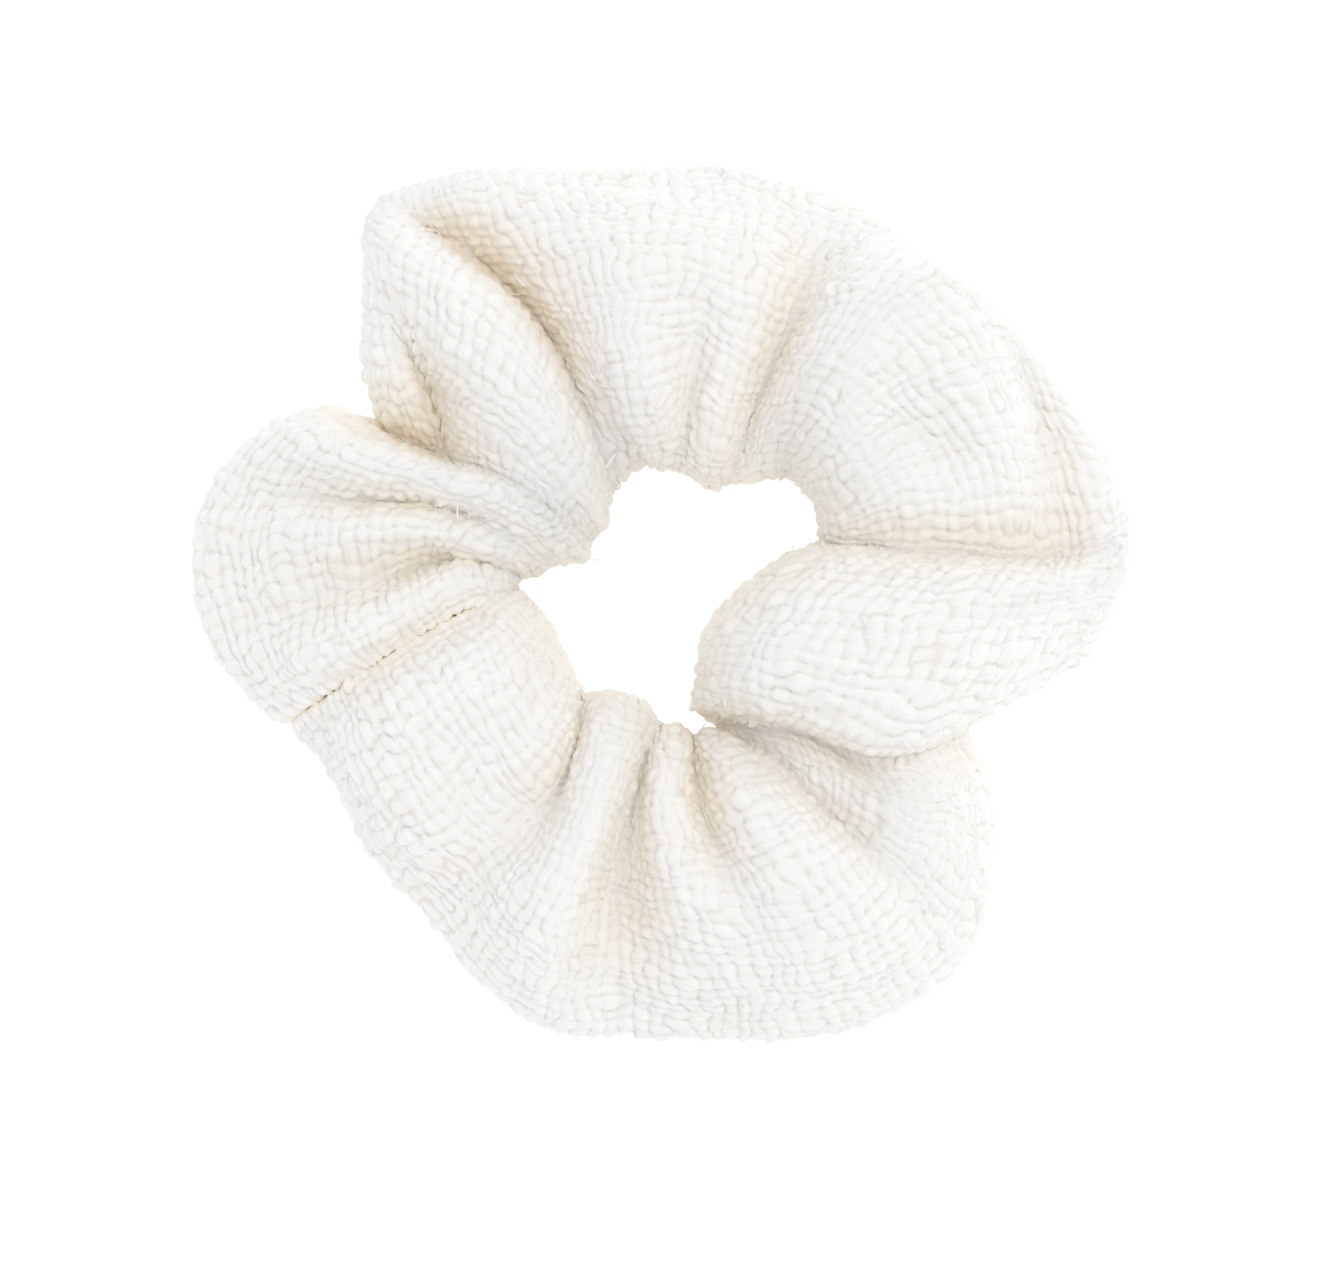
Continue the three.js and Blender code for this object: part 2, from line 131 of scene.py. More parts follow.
# The gathers, anticlockwise from the closing seam, in millimetres. Each row is one fold line across
# the top of the tube, from the hair hole to the rim. A firm row keeps closer to its place when the
# cloth settles.
FIRM, FREE = 1.0, 0.45
GATHERS = (
    ("closing seam", FIRM, ((-17, 2, 12), (-21.5, -0.5, 16.5), (-28.5, -4.5, 18),
      (-36.5, -9.5, 17.5), (-43.5, -14.5, 12))),
    ("panel by the seam", FIRM, ((-15, -0.5, 13), (-19.5, -4.5, 22), (-28.5, -10.5, 24),
      (-34.5, -15, 22), (-39.5, -18.5, 12))),
    ("panel middle", FREE, ((-13, -4.5, 13), (-17, -10.5, 21.5), (-25.5, -17.5, 22), (-31, -23, 21),
      (-35.5, -25.5, 12))),
    ("panel edge", FREE, ((-11, -9, 13), (-13, -16, 20), (-19, -23, 18.5), (-27, -28, 20),
      (-32, -31.5, 12))),
    ("hooked valley", FIRM, ((-9.5, -11.5, 12), (-10, -18, 15), (-12, -23.5, 16.5),
      (-18, -29, 19.5), (-27, -36.5, 12))),
    ("bottom ridge, left", FREE, ((-7.5, -10.5, 13), (-8.5, -17, 19), (-11, -25, 20.5),
      (-16.5, -34, 22.5), (-22.5, -43, 12))),
    ("bottom ridge", FREE, ((-4, -11, 14), (-5.5, -17.5, 22.5), (-8.5, -26.5, 24.5),
      (-12, -35.5, 24.5), (-15.5, -49, 12))),
    ("bottom ridge, right", FREE, ((-1.5, -12, 13), (-4, -19.5, 17), (-6.5, -27, 17),
      (-8.5, -36, 15.5), (-10, -44, 14.5), (-10.5, -50.5, 12))),
    ("bottom valley", FIRM, ((-0.5, -13.5, 12.5), (-2.5, -20, 15.8), (-4, -27, 15), (-5, -35.5, 13),
      (-5, -43, 13), (-5, -50.5, 11))),
    ("narrow ridge, left", FREE, ((0, -14.5, 12), (-1, -20.5, 16.5), (-1.5, -28.5, 17.5),
      (-0.5, -37.5, 17), (0.5, -44.5, 16.5), (1.5, -50.5, 12))),
    ("narrow ridge", FREE, ((2, -14.5, 14), (0.5, -19.5, 22), (1, -28, 22.5), (4, -37.5, 23),
      (8.5, -51, 12))),
    ("round pocket", FIRM, ((3.5, -15, 12), (3.5, -20.5, 10.5), (4, -25, 13), (7.5, -31.5, 21),
      (11.5, -38.5, 24), (15, -51, 12))),
    ("lower right lobe, left", FIRM, ((4.5, -15, 12), (8, -20.5, 20.5), (11.5, -28, 25),
      (17, -36, 26), (22.5, -50, 12))),
    ("lower right lobe, middle", FIRM, ((5.5, -14.5, 12), (10, -18.5, 18.5), (17, -26, 24),
      (24, -34, 25.5), (30, -46.5, 12))),
    ("lobe groove", FIRM, ((6, -15.5, 12), (11.5, -18.3, 19), (18.5, -25, 17.5),
      (25.5, -30.5, 22.5), (35.5, -42, 12))),
    ("lobe beyond the groove", FIRM, ((5, -16, 11), (13.5, -17.5, 17.5), (20.5, -23, 20),
      (28.5, -26.5, 24.5), (38, -32.5, 12))),
    ("lobe by the flap", FREE, ((4.8, -15.3, 9.5), (9.5, -16, 14), (15, -16.3, 18),
      (21.5, -20.5, 18.5), (29, -21.5, 23), (37.5, -21, 12))),
    ("valley under the flap", FIRM, ((4.2, -14, 8.5), (8.5, -14.2, 11.5), (14, -14.2, 17),
      (21.5, -18, 16.5), (27.5, -19, 22), (34.5, -14.5, 12))),
    ("flap underside", FIRM, ((3.8, -12.6, 11), (8.5, -12.6, 15), (13.5, -12.5, 18.7),
      (21.5, -15.5, 18.5), (28, -17.5, 22), (34.5, -12.5, 12))),
    ("flap lower lip", FIRM, ((3.5, -11, 15), (9.5, -12, 20.5), (18, -15, 21.5), (26.5, -18, 21.5),
      (39.5, -10.5, 12))),
    ("flap, lower part", FIRM, ((3.5, -9, 15), (11, -8, 25.5), (20.5, -10.5, 27), (31, -12.5, 25.5),
      (48.5, -7, 12))),
    ("flap, upper part", FREE, ((5.5, -2.5, 15), (14.5, -0.5, 26), (25.5, -1.5, 28),
      (38, -1.5, 27.5), (54, 0, 12))),
    ("flap by the crease", FIRM, ((12.5, 3.5, 15), (19.5, 4.5, 21.5), (26, 3, 24), (37, 2.5, 24.5),
      (47.5, 2, 22), (54.5, 4, 13))),
    ("crease above the flap", FIRM, ((17.5, 6, 13), (21, 6, 14), (27, 5.5, 17), (36.5, 5, 17),
      (46.5, 4.5, 14), (51, 6, 17), (54.5, 8, 12))),
    ("upper right panel, lower edge", FIRM, ((18, 8, 14), (22, 8.5, 18), (29, 10, 21.5),
      (39.5, 10, 21.5), (46, 10, 15), (50.5, 11, 18), (53.5, 12, 12))),
    ("upper right panel, hollow", FIRM, ((17.5, 11, 14), (23, 14.5, 24), (30.5, 18.5, 21),
      (37.5, 20.5, 25), (44, 20.5, 15), (47.5, 20, 18), (50, 17, 12))),
    ("upper right panel, ridge", FIRM, ((14.5, 14.5, 14), (18, 21.5, 25.5), (25, 29.5, 27.5),
      (33, 35, 26.5), (39.5, 31, 12))),
    ("upper right panel, upper edge", FIRM, ((11.5, 14, 13.5), (13.5, 21.5, 20.5),
      (17.5, 29.5, 24.5), (22.5, 38, 25.5), (28.5, 41, 12))),
    ("upper valley", FIRM, ((7, 13, 12), (9.5, 20, 15), (13.5, 28.5, 17), (17, 36.5, 17.5),
      (21.5, 46, 12))),
    ("small top ridge", FREE, ((5, 13, 13), (5.5, 20, 20), (7.5, 27, 22.5), (10, 36, 24),
      (12, 49, 12))),
    ("top dip", FIRM, ((3, 14.5, 13), (3, 20.5, 16.5), (4.5, 28, 19.5), (6, 37.5, 25),
      (6.5, 50.5, 12))),
    ("top panel ridge", FREE, ((0.5, 15.5, 14), (-1, 21.5, 23), (-1.5, 30.5, 25.5),
      (-1.5, 39, 25.5), (-1.5, 50, 12))),
    ("top panel, left slope", FIRM, ((-3, 14.5, 13.5), (-6, 22.5, 22.5), (-10, 31, 20.5),
      (-15, 38.5, 18), (-19.5, 45.5, 19), (-22, 50, 12))),
    ("diagonal valley", FIRM, ((-5, 12, 14), (-8.3, 21, 20.5), (-13.2, 30.5, 13.5), (-19, 37.5, 9),
      (-25, 42.5, 10.5), (-27, 46, 19), (-28.5, 49, 12))),
    ("top left ridge", FIRM, ((-6, 9.5, 14), (-11, 20.5, 23.5), (-16.3, 29, 26), (-23.3, 35, 26.5),
      (-31.5, 40, 24), (-34.5, 44.5, 12))),
    ("top left ridge, lower side", FIRM, ((-6.5, 8, 14), (-12.5, 17.5, 23.5), (-19.5, 24, 24.5),
      (-27, 29.8, 21), (-31.5, 34.5, 19), (-34.5, 36, 12))),
    ("small left valley", FIRM, ((-7.5, 7, 14), (-14.5, 15.5, 22.5), (-22, 21, 20.5),
      (-27.5, 25.5, 11.5), (-31, 27.5, 19), (-34.5, 28, 12))),
    ("top left corner's end, low", FIRM, ((-8, 6.5, 14), (-15.5, 14, 22.5), (-21.8, 17.5, 18.5),
      (-26, 20.5, 9.5), (-29.8, 22.5, 16.5), (-33.5, 23, 11))),
    ("notch", FIRM, ((-8.5, 6, 14), (-16, 13, 22), (-22.5, 15, 17.5), (-25.5, 17, 7),
      (-29.5, 19, 7), (-32.5, 20.5, 8))),
    ("left lobe, upper ridge", FIRM, ((-9.5, 5, 14), (-18, 10.5, 22), (-27, 14, 23.5),
      (-36.5, 17, 23.5), (-43.5, 21.5, 12))),
    ("left lobe, upper valley", FIRM, ((-13, 3.5, 13.5), (-19, 8, 19), (-26, 10.5, 16.3),
      (-36.5, 11.5, 16), (-52.5, 14.5, 12))),
    ("left lobe, upper lip", FIRM, ((-14.5, 3, 13.5), (-20.5, 6.5, 20.5), (-27, 9, 21.5),
      (-36.5, 8.5, 20), (-55, 7, 12))),
    ("left lobe, eye", FIRM, ((-15.5, 2.5, 12.5), (-21, 4.5, 15.5), (-27, 4, 12), (-33.5, 2, 15),
      (-53.5, -3.5, 12))),
    ("left lobe, lower lip", FIRM, ((-16.5, 2, 13), (-22, 2.5, 20), (-29, -1, 23), (-37, -5.5, 23),
      (-48, -11, 12))),
)


# ---- folds of the cloth

def unit(v):
    return v / (np.linalg.norm(v, axis=-1, keepdims=True) + 1e-12)


def smooth_line(points, count):
    """Points evenly spaced along a smooth open curve through the given ones."""
    p = np.asarray(points, float)
    knots = np.concatenate([[0], np.cumsum(np.linalg.norm(np.diff(p, axis=0), axis=1) ** 0.5)])
    step = np.diff(knots)
    slope = np.diff(p, axis=0) / step[:, None]
    tangent = np.empty_like(p)
    before, after = step[:-1, None], step[1:, None]
    tangent[1:-1] = (slope[:-1] * after + slope[1:] * before) / (before + after)
    tangent[0], tangent[-1] = slope[0], slope[-1]
    t = np.linspace(0, knots[-1], count)
    k = np.clip(np.searchsorted(knots, t, side="right") - 1, 0, len(step) - 1)
    return hermite(p[k], p[k + 1], tangent[k], tangent[k + 1], step[k], (t - knots[k]) / step[k])


def hermite(start, end, start_slope, end_slope, step, u):
    shape = (-1,) + (1,) * (start.ndim - 1)
    u, step = u.reshape(shape), step.reshape(shape)
    u2, u3 = u * u, u * u * u
    return (
        (2 * u3 - 3 * u2 + 1) * start
        + (u3 - 2 * u2 + u) * step * start_slope
        + (3 * u2 - 2 * u3) * end
        + (u3 - u2) * step * end_slope
    )


def evenly(curve, count):
    """The curve as count points with equal distances between them."""
    gone = np.concatenate([[0], np.cumsum(np.linalg.norm(np.diff(curve, axis=0), axis=1))])
    at = np.linspace(0, gone[-1], count)
    return np.stack([np.interp(at, gone, curve[:, k]) for k in range(3)], axis=1)


def section(fold_line):
    """A closed section of the tube: from the hair hole over the top to the rim, and back."""
    top = smooth_line(fold_line, SECTION_POINTS)
    hole, rim = top[0], top[-1]
    sixth = SECTION_POINTS // 6
    sunk = (HIGH_TOP - np.median(top[sixth:-sixth, 2])) / (HIGH_TOP - LOW_TOP)
    turn = np.linspace(0, math.pi, SECTION_POINTS)
    across = np.sign(np.cos(turn)) * np.abs(np.cos(turn)) ** UNDER_POWER
    down = np.sin(turn) ** UNDER_POWER
    towards_hole = (0.5 - 0.5 * across)[:, None]
    straight = rim + (hole - rim) * towards_hole
    at = (1 - towards_hole[:, 0]) * (SECTION_POINTS - 1)
    under = straight.copy()
    for k in range(2):
        bowed = np.interp(at, np.arange(SECTION_POINTS), top[:, k])
        under[:, k] += UNDER_BOW * (bowed - straight[:, k])
    under[:, 2] += (UNDER_HEIGHT + UNDER_LIFT * np.clip(sunk, 0, 1) - straight[:, 2]) * down
    half = ROUND // 2 + 1
    return np.concatenate([evenly(top, half)[:-1], evenly(under, half)[:-1]])


def gathered_tube():
    """The coarse grid of the folded tube, and how firmly each of its sections is held. A fold line
    gets as much cloth as most of its top lies away from the next one."""
    rows = np.array([section(line) for _, _, line in GATHERS])
    firmness = np.array([firm for _, firm, _ in GATHERS])
    after = np.roll(rows, -1, axis=0)
    top, most = ROUND // 2 + 4, 85
    spacing = np.linalg.norm(after - rows, axis=2)[:, :top]
    place = np.concatenate([[0], np.cumsum(np.percentile(spacing, most, axis=1))])
    place /= place[-1]
    step = np.diff(place)
    slope = (after - rows) / step[:, None, None]
    before = np.roll(step, 1)
    tangent = (np.roll(slope, 1, axis=0) * step[:, None, None] + slope * before[:, None, None])
    tangent /= (step + before)[:, None, None]
    t = np.arange(ALONG) / ALONG
    k = np.clip(np.searchsorted(place, t, side="right") - 1, 0, len(rows) - 1)
    n = (k + 1) % len(rows)
    u = (t - place[k]) / step[k]
    grid = hermite(rows[k], rows[n], tangent[k], tangent[n], step[k], u)
    return grid, np.interp(t, place, np.append(firmness, firmness[0]))


def settle(start, firmness):
    """Let the gathered cloth settle: it keeps its length and girth, resists bending, puffs up a
    little, sinks under its weight, and stays clear of itself, of the elastic and of the floor."""
    along, girth = LENGTH / ALONG, GIRTH / ROUND
    slant = math.hypot(along, girth)
    links = (  # steps along and round, distance when at rest, resistance to stretch and squeeze
        (1, 0, along, 0.9, 0.03),
        (0, 1, girth, 0.9, 0.06),
        (1, 1, slant, 0.25, 0.02),
        (1, -1, slant, 0.25, 0.02),
        (2, 0, 2 * along, 0.0, 0.02),
        (0, 2, 2 * girth, 0.0, 0.03),
    )
    held = firmness[:, None, None]
    p, velocity = start.copy(), np.zeros_like(start)
    for n in range(STEPS):
        grip = EARLY_GRIP * (1 - n / STEPS) ** 2 + GRIP
        q = p + CARRIED * velocity
        q[..., 2] -= WEIGHT
        q += grip * held * (start - q)
        q += PUFF * outward(q)
        for _ in range(2):
            q += PULL * pulls(q, links)
        bend = neighbours(q) - q
        q -= BENDING * (neighbours(bend) - bend)
        q += FLOW * bend
        if n % 3 == 0:
            q = apart(q, LAYER_GAP)
        clear_of_elastic(q)
        q[..., 2] = np.maximum(q[..., 2], FLOOR_GAP)
        velocity = q - p
        speed = np.linalg.norm(velocity, axis=2, keepdims=True)
        velocity *= np.minimum(1, FASTEST / (speed + TINY))
        p = p + velocity
    return p


def eased(cage):
    """The coarse tube without the finest crumples where the cloth is tightly gathered."""
    for _ in range(EASED):
        wide = np.linalg.norm(np.roll(cage, -1, 0) - np.roll(cage, 1, 0), axis=2, keepdims=True)
        tight = np.clip((LOOSE - wide * ALONG / LENGTH / 2) / (LOOSE - TIGHT), 0, 1)
        cage = cage + 0.5 * tight * (neighbours(cage) - cage)
        clear_of_elastic(cage)
    return cage


def outward(q):
    """Normals of the coarse tube, out of it."""
    du = np.roll(q, -1, 0) - np.roll(q, 1, 0)
    dv = np.roll(q, -1, 1) - np.roll(q, 1, 1)
    return unit(np.cross(dv, du))


def neighbours(q):
    """Mean of each point's four neighbours."""
    return (np.roll(q, 1, 0) + np.roll(q, -1, 0) + np.roll(q, 1, 1) + np.roll(q, -1, 1)) / 4


def pulls(q, links):
    """Moves that bring each pair of linked points towards its own distance."""
    total = np.zeros_like(q)
    for a, b, rest, stretch, squeeze in links:
        d = np.roll(q, (-a, -b), axis=(0, 1)) - q
        length = np.linalg.norm(d, axis=2, keepdims=True) + TINY
        excess = length - rest
        move = 0.5 * np.where(excess > 0, stretch, squeeze) * excess * d / length
        total += move - np.roll(move, (a, b), axis=(0, 1))
    return total


def clear_of_elastic(q):
    """Push points out of the space that the elastic sweeps, by the nearest way. Near the closing
    seam they stay further off, to leave room for the cloth that is turned in there."""
    from_seam = np.minimum(np.arange(ALONG), ALONG - np.arange(ALONG))[:, None] * LENGTH / ALONG
    clear = CLEARANCE + 2 * FOLD * np.exp(-((from_seam / (1.4 * TURNED_IN)) ** 4))
    flat = q[..., :2] - RING
    r = np.linalg.norm(flat, axis=2)
    z = q[..., 2]
    (inner, outer), (low, high) = SWEPT_RADII, SWEPT_HEIGHTS
    gaps = np.stack([inner - clear - r, r - outer - clear, low - clear - z, z - high - clear])
    inside = (gaps < 0).all(axis=0)
    way, push = gaps.argmax(0), gaps.max(0)
    radial = flat / r[..., None]
    for k, sign in ((0, 1), (1, -1)):
        hit = inside & (way == k)
        q[hit, :2] += radial[hit] * (sign * push[hit])[:, None]
    for k, sign in ((2, 1), (3, -1)):
        hit = inside & (way == k)
        q[hit, 2] += sign * push[hit]


def close_pairs(q, radius):
    """Pairs of points that share a cell or sit in neighbouring cells of the given size."""
    wide, furthest = 512, 80.0  # more cells than there are each way, and how far out a point can be
    cell = np.floor((q + furthest) / radius).astype(np.int64)
    key = (cell[:, 0] * wide + cell[:, 1]) * wide + cell[:, 2]
    order = np.argsort(key, kind="stable")
    cells, start, count = np.unique(key[order], return_index=True, return_counts=True)
    reach = (-1, 0, 1)
    steps = [(x, y, z) for x in reach for y in reach for z in reach if (x, y, z) >= (0, 0, 0)]
    first, second = [], []
    for x, y, z in steps:
        other = key + (x * wide + y) * wide + z
        found = np.minimum(np.searchsorted(cells, other), len(cells) - 1)
        a = np.nonzero(cells[found] == other)[0]
        c, s = count[found[a]], start[found[a]]
        for t in range(c.max() if len(a) else 0):
            has = c > t
            i, j = a[has], order[s[has] + t]
            if (x, y, z) == (0, 0, 0):
                i, j = i[i < j], j[i < j]
            first.append(i)
            second.append(j)
    return np.concatenate(first), np.concatenate(second)


def apart(p, radius):
    """Push points that aren't neighbours in the cloth towards being radius apart."""
    near_along, near_round, share = 5, 3, 0.3
    q = p.reshape(-1, 3)
    i, j = close_pairs(q, radius)
    di, dj = np.abs(i // ROUND - j // ROUND), np.abs(i % ROUND - j % ROUND)
    di, dj = np.minimum(di, ALONG - di), np.minimum(dj, ROUND - dj)
    d = q[j] - q[i]
    length = np.linalg.norm(d, axis=1)
    hit = ((di > near_along) | (dj > near_round)) & (length < radius) & (length > TINY)
    i, j, d, length = i[hit], j[hit], d[hit], length[hit]
    move = (share * (radius - length) / length)[:, None] * d
    moved = q.copy()
    for k in range(3):
        moved[:, k] += np.bincount(j, move[:, k], len(q)) - np.bincount(i, move[:, k], len(q))
    return moved.reshape(p.shape)


# ---- from the folds to the open strip

def spline_weights(count, at):
    """Weights of the points of a closed cubic B-spline at places counted in points."""
    k = np.floor(at).astype(int)
    u = at - k
    basis = (
        (1 - u) ** 3 / 6,
        (3 * u**3 - 6 * u**2 + 4) / 6,
        (-3 * u**3 + 3 * u**2 + 3 * u + 1) / 6,
        u**3 / 6,
    )
    weights = np.zeros((len(at), count))
    rows = np.arange(len(at))
    for n, value in enumerate(basis):
        weights[rows, (k - 1 + n) % count] += value
    return weights


def tube_points(cage, along, girth):
    """Points of the smooth closed tube at places along it and round it, in millimetres."""
    a = spline_weights(ALONG, np.asarray(along) * ALONG / LENGTH)
    b = spline_weights(ROUND, np.asarray(girth) * ROUND / GIRTH)
    return np.einsum("ai,ijk,bj->abk", a, cage, b, optimize=True)


def tube_values(grid, along, across):
    """Values of a grid over the coarse tube at places on the strip."""
    at = np.clip(along, 0, LENGTH - 1)
    girth = SEAM_AT + np.clip(across, 0, GIRTH)
    return tube_points(grid[..., None], at, girth)[..., 0]


def strip_sections(cage, along, across):
    """Sections of the strip at places along the tube, with the long seam's allowances turned in."""
    span = GIRTH - 2 * EDGE
    face = (across >= QUARTER) & (across <= GIRTH - QUARTER)
    out = np.empty((len(along), len(across), 3))
    stretch = span / (GIRTH - 2 * QUARTER)
    girth = SEAM_AT + EDGE + (across[face] - QUARTER) * stretch
    out[:, face] = tube_points(cage, along, girth)
    lips = tube_points(cage, along, [SEAM_AT + EDGE, SEAM_AT + EDGE + span])
    inner = tube_points(cage, along, [GIRTH / 2 - SEAM_DEPTH, GIRTH / 2 + SEAM_DEPTH])
    inwards = unit(inner.mean(axis=1) - lips.mean(axis=1))
    over = lips[:, 1] - lips[:, 0]
    over = unit(over - (over * inwards).sum(axis=1, keepdims=True) * inwards)
    for lip, sign, outside, gone in (
        (lips[:, 0], 1, across < QUARTER, QUARTER - across),
        (lips[:, 1], -1, across > GIRTH - QUARTER, across - GIRTH + QUARTER),
    ):
        x = gone[outside][None, :, None]
        turn = np.minimum(x / FOLD, math.pi / 2)
        straight = np.maximum(x - QUARTER, 0)
        d, t = inwards[:, None], sign * over[:, None]
        curved = FOLD * (1 - np.cos(turn)) * d + FOLD * np.sin(turn) * t
        out[:, outside] = lip[:, None] + curved + straight * d
    return out


def whole_strip(cage, along, across):
    """The middle of the whole strip, with the allowances of both seams turned in."""
    lips = strip_sections(cage, np.array([EDGE, LENGTH - EDGE]), across)
    out = np.empty((len(along), len(across), 3))
    face = (along >= QUARTER) & (along <= LENGTH - QUARTER)
    stretch = (LENGTH - 2 * EDGE) / (LENGTH - 2 * QUARTER)
    out[face] = strip_sections(cage, EDGE + (along[face] - QUARTER) * stretch, across)
    for start, sign, outside, gone in (
        (EDGE, 1, along < QUARTER, QUARTER - along),
        (LENGTH - EDGE, -1, along > LENGTH - QUARTER, along - LENGTH + QUARTER),
    ):
        x = gone[outside]
        at = start + sign * np.maximum(x - 2 * QUARTER, 0)
        nudge = 0.3
        rows = strip_sections(cage, at, across)
        du = strip_sections(cage, at + nudge, across) - strip_sections(cage, at - nudge, across)
        normal = unit(np.cross(np.gradient(rows, axis=1), du))
        turn = np.minimum(x / FOLD, math.pi)[:, None, None]
        towards = sign * (lips[1] - lips[0])[None]
        towards = unit(towards - (towards * normal).sum(axis=-1, keepdims=True) * normal)
        out[outside] = rows + FOLD * ((np.cos(turn) - 1) * normal + np.sin(turn) * towards)
    return drawn_together(out, along)


def drawn_together(strip, along):
    """The strip with its two ends moved until their folds press on each other along the seam."""
    folds = strip[np.searchsorted(along, 0.0)], strip[np.searchsorted(along, LENGTH)]
    gap = folds[1] - folds[0]
    width = np.linalg.norm(gap, axis=-1, keepdims=True)
    shift = gap / width * (width - PRESSED) / 2
    reach = 7.0
    from_start, from_end = np.maximum(along, 0), np.maximum(LENGTH - along, 0)
    near = np.exp(-((from_start / reach) ** 2)) - np.exp(-((from_end / reach) ** 2))
    return strip + near[:, None, None] * shift


# ---- the weave in relief

def drift(rng, shape, along, across):
    """A smooth random field of about unit size with along by across swells."""
    a = spline_weights(along, np.linspace(0, along - 1, shape[0]))
    b = spline_weights(across, np.linspace(0, across - 1, shape[1]))
    field = a @ rng.normal(size=(along, across)) @ b.T
    return field / field.std()


def yarn_height(yarn, raised, offset, swollen, plump):
    """Height of a yarn at an offset from its middle. It is raised by 1 where it lies over the yarn
    that it crosses, and by -1 where it lies under it."""
    half = yarn["half"] + yarn["swell"] * swollen
    dome = np.maximum(1 - (offset / half) ** 2, 0) ** 0.5
    shown = DOMED + DOMED_MORE * raised
    return yarn["base"] + yarn["lift"] * raised + yarn["dome"] * shown * plump * dome


def weave_layer(rng, along, across, yarns_each, spread):
    """One plain weave in relief. Each of its columns stands for yarns_each yarns that the gathers
    have pressed together. Spread is how wide one yarn is there, against its flat width."""
    shape = (len(along), len(across))
    yarns, rows = int(LENGTH / WARP / yarns_each) + 16, int(GIRTH / WEFT) + 20
    size, swells, swells_across = WANDER["along"]
    a = along[:, None] / (WARP * yarns_each) + 8
    a = a + size * drift(rng, shape, swells // yarns_each, swells_across)
    a = a + JITTER * drift(rng, shape, yarns, rows)
    size, swells, swells_across = WANDER["across"]
    b = across[None, :] / WEFT + 10
    b = b + size * drift(rng, shape, swells, swells_across)
    b = b + JITTER * drift(rng, shape, yarns, rows)
    k, m = np.rint(a).astype(int), np.rint(b).astype(int)
    plump = 1 + UNEVEN * rng.normal(size=(2, yarns + 8, rows + 8))[:, k, m]
    slub = drift(rng, shape, yarns, SLUBS)
    merge_from, merge_over, most = MERGING
    merged = np.clip((slub - merge_from) / merge_over, 0, 1) * most
    over = np.cos(math.pi * (b + k))
    thick = (1 + SLUB_GROWTH * slub) * plump[0]
    column = yarn_height(COLUMN, over * (1 - merged), a - k, over, thick)
    over = -np.cos(math.pi * (a + m))
    crossing = yarn_height(CROSSING, over, b - m, over, plump[1])
    height = np.logaddexp(SHARP * column, SHARP * crossing) / SHARP
    return np.clip(yarns_each * spread / FULL_SPREAD, FLATTEST, PLUMPEST) * (height - height.mean())


def weave_relief(along, across, spread):
    """Height of the weave over the cloth's mean level: plump uneven beads of the yarns that cross
    the tube, thinner ones between them, and pits where four yarns meet."""
    rng = np.random.default_rng(SEED)
    level = np.clip(np.log2(LOOSE / spread), 0, SCALES - 1)
    shares = np.array([np.clip(2 - 3 * np.abs(level - n), 0, 1) for n in range(SCALES)])
    heights = np.array([weave_layer(rng, along, across, 2**n, spread) for n in range(SCALES)])
    heights -= HIDDEN * (1 - shares / shares.max(axis=0))
    return np.logaddexp.reduce(SHARP * heights, axis=0) / SHARP


def spread_along(middle, step):
    """How wide the cloth lies along the tube at each point, as a share of its flat width."""
    wide = np.linalg.norm(np.gradient(middle, axis=0), axis=2) / step
    reach = 6
    window = 2 * reach + 1
    for axis in (0, 1):
        n = wide.shape[axis]
        margin = [(reach + 1, reach) if k == axis else (0, 0) for k in (0, 1)]
        sums = np.cumsum(np.pad(wide, margin, mode="edge"), axis=axis)
        wide = np.take(sums, range(window, window + n), axis) - np.take(sums, range(n), axis)
        wide = wide / window
    return wide


# ---- meshes

def openness(cage):
    """How much of its outlook each point of the coarse tube has free: 1 on the ridges, low in the
    folds."""
    points = cage.reshape(-1, 3)
    index = np.arange(len(points)).reshape(ALONG, ROUND)
    right, above = np.roll(index, -1, 1), np.roll(index, -1, 0)
    quads = np.stack([index, right, np.roll(right, -1, 0), above], -1).reshape(-1, 4)
    tree = BVHTree.FromPolygons(points.tolist(), quads.tolist())
    rays, lift, furthest = 22, 0.9, 30.0
    n = np.arange(rays) + 0.5
    turn, rise = n * math.pi * (3 - math.sqrt(5)), np.sqrt(1 - n / rays)
    flat = np.sqrt(1 - rise**2)
    local = np.stack([flat * np.cos(turn), flat * np.sin(turn), rise], -1)
    normal = outward(cage).reshape(-1, 3)
    aslant = (0.31, 0.17, 0.94)
    side = unit(np.cross(normal, aslant))
    up = np.cross(normal, side)
    free = np.zeros(len(points))
    for k in range(len(points)):
        frame_axes = np.stack([side[k], up[k], normal[k]])
        start = Vector(points[k] + lift * normal[k])
        for ray in (local @ frame_axes).tolist():
            free[k] += tree.ray_cast(start, Vector(ray), furthest)[0] is None
    return (free / rays).reshape(ALONG, ROUND)


